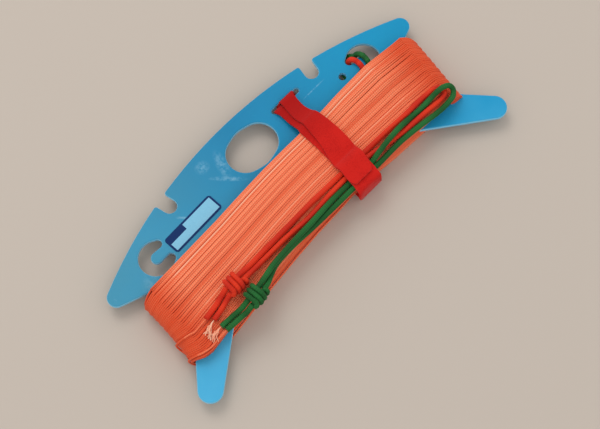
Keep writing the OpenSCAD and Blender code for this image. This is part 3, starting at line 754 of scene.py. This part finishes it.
# One turn from the left end's front, moving on by step along the back
def turnSpots(seat, step, off, sway=0.0, shade=0.5):
    lean = [chance.uniform(-sway, sway) for _ in range(4)]
    early, late = winding["backStep"]
    spots, shades = [], []
    for front in (True, False):
        stops = runStops if front else runStops[::-1]
        for i, x in enumerate(stops):
            t = i / (len(stops) - 1)
            spot = runSpot(x, seat if front else seat + step * (early + (late - early) * t), front, off)
            spot.y += lean[0] * (1 - t) + lean[1] * t if front else lean[1] * (1 - t) + lean[2] * t
            spots.append(spot)
            # the runs' end stations and the ways round the ends are drawn darker, as painted shade
            shades.append(shade * (winding["endPaintedShade"] if i in (0, len(stops) - 1) else 1))
        for degrees in endStops if front else reversed(endStops):
            spots.append(endSpot(1 if front else -1, degrees, seat if front else seat + step, off))
            shades.append(shade * winding["endPaintedShade"])
    return spots, shades


# Each line comes round the left end for the last time on top of the other turns. It crosses them from one
# seat to another on the end's lower half, then lies along them and climbs into its sleeve
lastTurn = {
    "lift": winding["lineD"] + 0.1,
    "liftRate": 2.2,
    "crossing": 90,
    "smooth": 4,
    "shade": 0.35,
    "red": (23.4, 16.2),
    "green": (23.9, 22.3),
}
restZ = topZ + winding["lineD"] / 2 + 0.05
leads = {
    "red": [
        (-98, -20.6, restZ), (-94, -20.4, restZ), (-90.6, -20.3, sleeveZ - 0.1), (-88.6, -20.2, sleeveZ),
    ],
    "green": [
        (-97, -32.9, restZ), (-92, -32.5, restZ), (-87.6, -32.4, sleeveZ - 0.1), (-85.2, -32.4, sleeveZ),
    ],
}


def lastPass(start, end):
    spots = []
    for degrees in range(-60, 81, 20):
        t = min(1, (degrees + 90) / lastTurn["crossing"])
        seat = start + (end - start) * t * t * (3 - 2 * t)
        lift = lastTurn["lift"] * min(1, lastTurn["liftRate"] * t)
        spots.append(endSpot(-1, degrees, seat, surfaceOff + lift))
    return spots


def woundLine(name, first):
    stride = 2 * (winding["seats"] - 1) / (2 * winding["turns"] - 1)
    points, shades = [], []
    for t in range(winding["turns"]):
        off = surfaceOff - chance.uniform(0, winding["sink"])
        tone = chance.triangular(*winding["shades"])
        spots, tones = turnSpots(first * stride / 2 + stride * t, stride, off, winding["sway"], tone)
        points += spots
        shades += tones
    # In place of its last way round the left end it passes over the other turns
    points, shades = points[: -len(endStops)], shades[: -len(endStops)]
    passing = lastPass(*lastTurn[name])
    finish = passing + [Vector(p) for p in leads[name]]
    ending = throughPoints([p * mm for p in points[-1:] + finish], lastTurn["smooth"])
    route = [p * mm for p in points[:-1]] + ending
    # the pass over the left end is drawn darker still, as painted shade
    shades += [winding["endPaintedShade"] / 2] * (lastTurn["smooth"] * (len(passing) - 1))
    shades += [lastTurn["shade"]] * (len(route) - len(shades))
    line = sweep(name + "EndLine", [route], winding["lineD"] / 2, 8, [shades])
    dress(line, materials["line"], "winder", name + "_end_line")


woundLine("red", 0)
woundLine("green", 1)

inner = {
    "turns": 42,
    "depth": 0.8,
    "sway": 0.4,
    "shade": 0.3,
    "firstSeat": 0.5,
    "stack": 7,
    "stackStep": 0.9,
    "stackSides": ((0.1, 0.04), (23, -0.02)),  # outermost seat of each side's stack, and how it draws in
    "stackSway": 0.1,
    "stackShade": 0.6,
    "coreDepth": 1.2,
    # seat and depth of each slice; the last two cover the plate's waist between the front and the back turns
    "coreSlices": [
        (0.7, 2.6), (1.4, 0.3), (6, 0), (12, 0), (17, 0), (21.7, 0.3), (22.4, 2.6),
        (22.5, 5.5), (22.98, 5.8),
    ],
}


# The layers under the outer one: a second set of turns, the stacked turns that show along both sides
# of the winding, and a solid core. They are drawn darker than the outer turns, and the core darkest,
# as painted shade
def innerTurns():
    stride = (winding["seats"] - 1.2) / inner["turns"]
    route, shades = [], []
    for t in range(inner["turns"]):
        tone = chance.random() * inner["shade"]
        seat = inner["firstSeat"] + stride * t
        spots, tones = turnSpots(seat, stride, surfaceOff - inner["depth"], inner["sway"], tone)
        route += spots
        shades += tones
    paths, pathShades = [[p * mm for p in route]], [shades]
    for edge, inward in inner["stackSides"]:
        for layer in range(1, inner["stack"] + 1):
            off = surfaceOff - inner["stackStep"] * layer
            seat = edge + inward * (layer + chance.uniform(0, 2))
            spots, tones = turnSpots(seat, 0, off, inner["stackSway"], chance.random() * inner["stackShade"])
            paths.append([p * mm for p in spots + spots[:1]])
            pathShades.append(tones + tones[:1])
    turns = sweep("innerTurns", paths, winding["lineD"] / 2, 6, pathShades)
    bm = bmesh.new()
    loops = []
    for seat, inset in inner["coreSlices"]:
        spots, _ = turnSpots(seat, 0, surfaceOff - inner["coreDepth"] - inset)
        ring = bmesh.ops.create_circle(bm, segments=len(spots), radius=1)["verts"]
        for spot, v in zip(spots, ring):
            v.co = spot * mm
        loops.append(ring)
    edges = list(bm.edges)
    for a, b in zip(loops, loops[1:]):
        pair = set(a) | set(b)
        bmesh.ops.bridge_loops(bm, edges=[e for e in edges if e.verts[0] in pair and e.verts[1] in pair])
    bmesh.ops.holes_fill(bm, edges=[e for e in bm.edges if len(e.link_faces) == 1], sides=0)
    bmesh.ops.recalc_face_normals(bm, faces=bm.faces)
    core = bpy.data.meshes.new("core")
    bm.to_mesh(core)
    bm.free()
    whole = bmesh.new()
    whole.from_mesh(turns.data)
    whole.from_mesh(core)
    whole.to_mesh(turns.data)
    whole.free()
    bpy.data.meshes.remove(core)
    dress(turns, materials["line"], "winder", "inner_turns")


innerTurns()
print("winding laid")

# Levels that the strap follows round the winding and the sleeves on it
pressTop = topZ - strap["press"]
halfT = strap["thick"] / 2
humpZ = pressTop + sleeve["d"] + 2 * layGap + halfT
humpFrom = strap["sleeves"][0] + sleeve["d"] / 2
strapLow = strap["sleeves"][1] - sleeve["d"] / 2 - strap["sideGap"] - halfT
tipY = -20
strapX, strapW, slotX, slotY = strap["x"], strap["width"], strap["slotX"], strap["slotY"]
hingeY = slotY + 0.75  # the tail turns here
hingeZ = faceZ + 0.9

# Points are y, z, x of the middle, width, flare of the side edges
slotStart = [
    (slotY - 0.75, faceZ - 1.2, slotX - 5.2, strapW * 0.5, 0),
    (slotY - 0.8, faceZ + 0.2, slotX - 5.2, strapW * 0.52, 0),
    (slotY - 1.8, faceZ + 1.3, slotX - 4.9, strapW * 0.58, 0),
    (slotY - 5, faceZ + 1.9, slotX - 3.5, strapW * 0.66, 0),
]
frontLayer = [
    (27.5, faceZ + 3.3, slotX - 2.9, strapW * 0.77, 0),
    (windY + 4.6, pressTop - 1, strapX - 0.4, strapW * 0.8, 0),
    (windY + 2.5, pressTop + 0.35, strapX, strapW * 0.9, 0),
    (windY + 0.9, pressTop + halfT + layGap, strapX, strapW * 0.95, 0),
    (6, pressTop + halfT + layGap, strapX + 0.2, strapW * 0.97, 0),
    (-5, pressTop + halfT + layGap, strapX - 0.3, strapW * 0.98, 0),
    (humpFrom + 3.4, pressTop + halfT + 0.3, strapX - 1, strapW, 0),
    (humpFrom + 1.5, pressTop + sleeve["d"] * 0.7 + halfT, strapX - 1.2, strapW, 0),
    (humpFrom - 0.6, humpZ + 0.1, strapX - 1.4, strapW, 0),
    (tipY, humpZ, strapX - 2.1, strapW, 0),
    (tipY - 6, humpZ, strapX - 2.8, strapW, 0.2),
]
lowerSide = [
    (strapLow - 1.2, humpZ - 1.4, strapX - 3.4, strapW * 1.02, 0.9),
    (strapLow - 2, topZ - 1.6, strapX - 4, strapW * 1.04, 1.4),
    (strapLow - 1.7, midZ + 2, strapX - 3.2, strapW, 0.8),
    (strapLow - 1.2, midZ - 3, strapX - 1.6, strapW, 0.2),
    (strapLow - 0.8, 2.4, strapX - 0.6, strapW, 0),
    (strapLow - 0.1, 1.2, strapX - 0.3, strapW, 0),
]
backLayer = [
    (strapLow + 1.6, halfT + 0.1, strapX, strapW, 0),
    (-10, halfT, strapX, strapW, 0),
    (windY + 0.4, halfT, strapX, strapW, 0),
    (windY + 2, halfT + 0.1, strapX + 0.1, strapW, 0),
    (windY + 4, halfT + 0.8, strapX + 0.3, strapW, 0),
    (slotY - 4, backZ - 2, slotX, strapW * 0.95, 0),
    (hingeY - 0.8, backZ - 0.7, slotX + 0.6, strapW * 0.9, 0),
    (hingeY, backZ + 0.8, slotX + 1, strapW * 0.85, 0),
    (hingeY, faceZ, slotX + 1.4, strapW * 0.68, 0),
    (hingeY, hingeZ + 0.3, slotX + 1.1, strapW * 0.62, 0),
]
# The tail lies on the band's first nine points: its shift across from the slot's middle at the first point
# and from the strap's at the others, and its share of the strap's width
tail = {
    "shifts": [-0.9, 1.7, 2.1, 2.1, 1.6, -0.2, -1, -1.2, -1.4],
    "widths": [0.56, 0.6, 0.64, 0.68, 0.84, 0.98, 1, 1, 1],
    "tipLength": 6.5,
    "tipWidth": 0.55,
    "tipShift": -2.6,
    "tipSlide": -0.9,
    "tipTurns": (0, 22.5, 45, 67.5),
}
tailLift = strap["thick"] + strap["tailGap"]
tailRoot = [
    (hingeY, hingeZ + 0.95, slotX + 1.1, strapW * 0.6, 0),
    (hingeY - 0.3, hingeZ + 1.8, slotX + 1.1, strapW * 0.6, 0),
    (hingeY - 1.5, hingeZ + 2.7, slotX + 0.7, strapW * 0.58, 0),
    (slotY - 5, faceZ + 1.9 + tailLift, slotX, strapW * 0.54, 0),
]


def sideOf(path, i):
    back = Vector(path[i][:2]) - Vector(path[i - 1][:2]) if i else None
    ahead = Vector(path[i + 1][:2]) - Vector(path[i][:2]) if i < len(path) - 1 else None
    before = (back or ahead).normalized()
    after = (ahead or back).normalized()
    middle = (before + after).normalized()
    return Vector((middle.y, -middle.x)) / max(0.5, middle.dot(before))


tailOver = []
for i, (shift, share) in enumerate(zip(tail["shifts"], tail["widths"])):
    side = sideOf(frontLayer, i)
    y, z, *_ = frontLayer[i]
    middle = (strapX if i else slotX) + shift
    tailOver.append((y + side.x * tailLift, z + side.y * tailLift, middle, strapW * share, 0))
tailTip = []
for degrees in tail["tipTurns"]:
    turn = math.radians(degrees)
    y = tipY - tail["tipLength"] * math.sin(turn)
    middle = strapX + tail["tipShift"] + tail["tipSlide"] * math.sin(turn)
    share = tail["tipWidth"] + (1 - tail["tipWidth"]) * math.cos(turn)
    tailTip.append((y, humpZ + tailLift, middle, strapW * share, 0))


# A tape along a path in the YZ plane: a grid bent to the path, given its thickness and softened
def tape(name, points, body, node):
    steps, columns, flareWeight = 5, 12, 10
    level = 0.4  # where across the half width, squared, the flare changes sides
    carriers = throughPoints([Vector((p[0], p[1], 0)) for p in points], steps)
    others = throughPoints([Vector((p[2], p[3], p[4] * flareWeight)) for p in points], steps)
    path = [(a.x, a.y, b.x, b.y, b.z / flareWeight) for a, b in zip(carriers, others)]
    bm = bmesh.new()
    rows = len(path) - 1
    bmesh.ops.create_grid(bm, x_segments=columns, y_segments=rows, size=0.5)
    for v in bm.verts:
        u = v.co.x * 2
        i = round((v.co.y + 0.5) * rows)
        y, z, middle, width, flare = path[i]
        out = sideOf(path, i)
        bent = flare * (u * u - level)
        v.co = rowPoint(middle + u * width / 2, y + out.x * bent, z + out.y * bent)
    mesh = bpy.data.meshes.new(name)
    bm.to_mesh(mesh)
    bm.free()
    piece = bpy.data.objects.new(name, mesh)
    bpy.context.scene.collection.objects.link(piece)
    thicken = piece.modifiers.new("thickness", "SOLIDIFY")
    thicken.thickness = strap["thick"] * mm
    thicken.offset = 0
    soften = piece.modifiers.new("rounded edges", "BEVEL")
    soften.width = strap["edge"] * mm
    soften.segments = 2
    for polygon in mesh.polygons:
        polygon.use_smooth = True
    dress(piece, materials["tape"], body, node)


tape("strapBand", slotStart + frontLayer + lowerSide + backLayer, "winder", "strap_band")
tape("strapTail", tailRoot + tailOver + tailTip, "strap_tail", "strap_tail")
print("strap made")

for node, key in (("winder_plate", "plate"), ("label", "label")):
    part = frame["nodes"][node]
    part.data.materials.clear()
    part.data.materials.append(materials[key])
print("plate and label finished")

studio = {
    "floor": "#C4B8AC",
    "floorSize": 6.0,
    "world": 0.78,
    # place, power and size of each light
    "key": ((0.25, 0.9, 1.5), 8.0, 0.9),
    "fill": ((-1.1, -0.8, 1.2), 2.2, 1.6),
}


def buildStudio():
    bm = bmesh.new()
    bmesh.ops.create_grid(bm, x_segments=1, y_segments=1, size=studio["floorSize"] / 2)
    mesh = bpy.data.meshes.new("floor")
    bm.to_mesh(mesh)
    bm.free()
    floor = bpy.data.objects.new("floor", mesh)
    bpy.context.scene.collection.objects.link(floor)
    material, _ = newMaterial("plain_pale_floor", {"Roughness": 0.9, "Base Color": colour(studio["floor"])})
    mesh.materials.append(material)
    for name in ("key", "fill"):
        place, power, size = studio[name]
        light = bpy.data.objects.new(name, bpy.data.lights.new(name, "AREA"))
        light.data.energy = power
        light.data.size = size
        light.location = place
        light.rotation_euler = (-Vector(place)).to_track_quat("-Z", "Y").to_euler()
        bpy.context.scene.collection.objects.link(light)
    world = bpy.data.worlds.new("studio")
    world.use_nodes = True
    world.node_tree.nodes["Background"].inputs[0].default_value = (1, 1, 1, 1)
    world.node_tree.nodes["Background"].inputs[1].default_value = studio["world"]
    bpy.context.scene.world = world


buildStudio()
bpy.context.scene.view_settings.view_transform = "Standard"
print("studio lit")
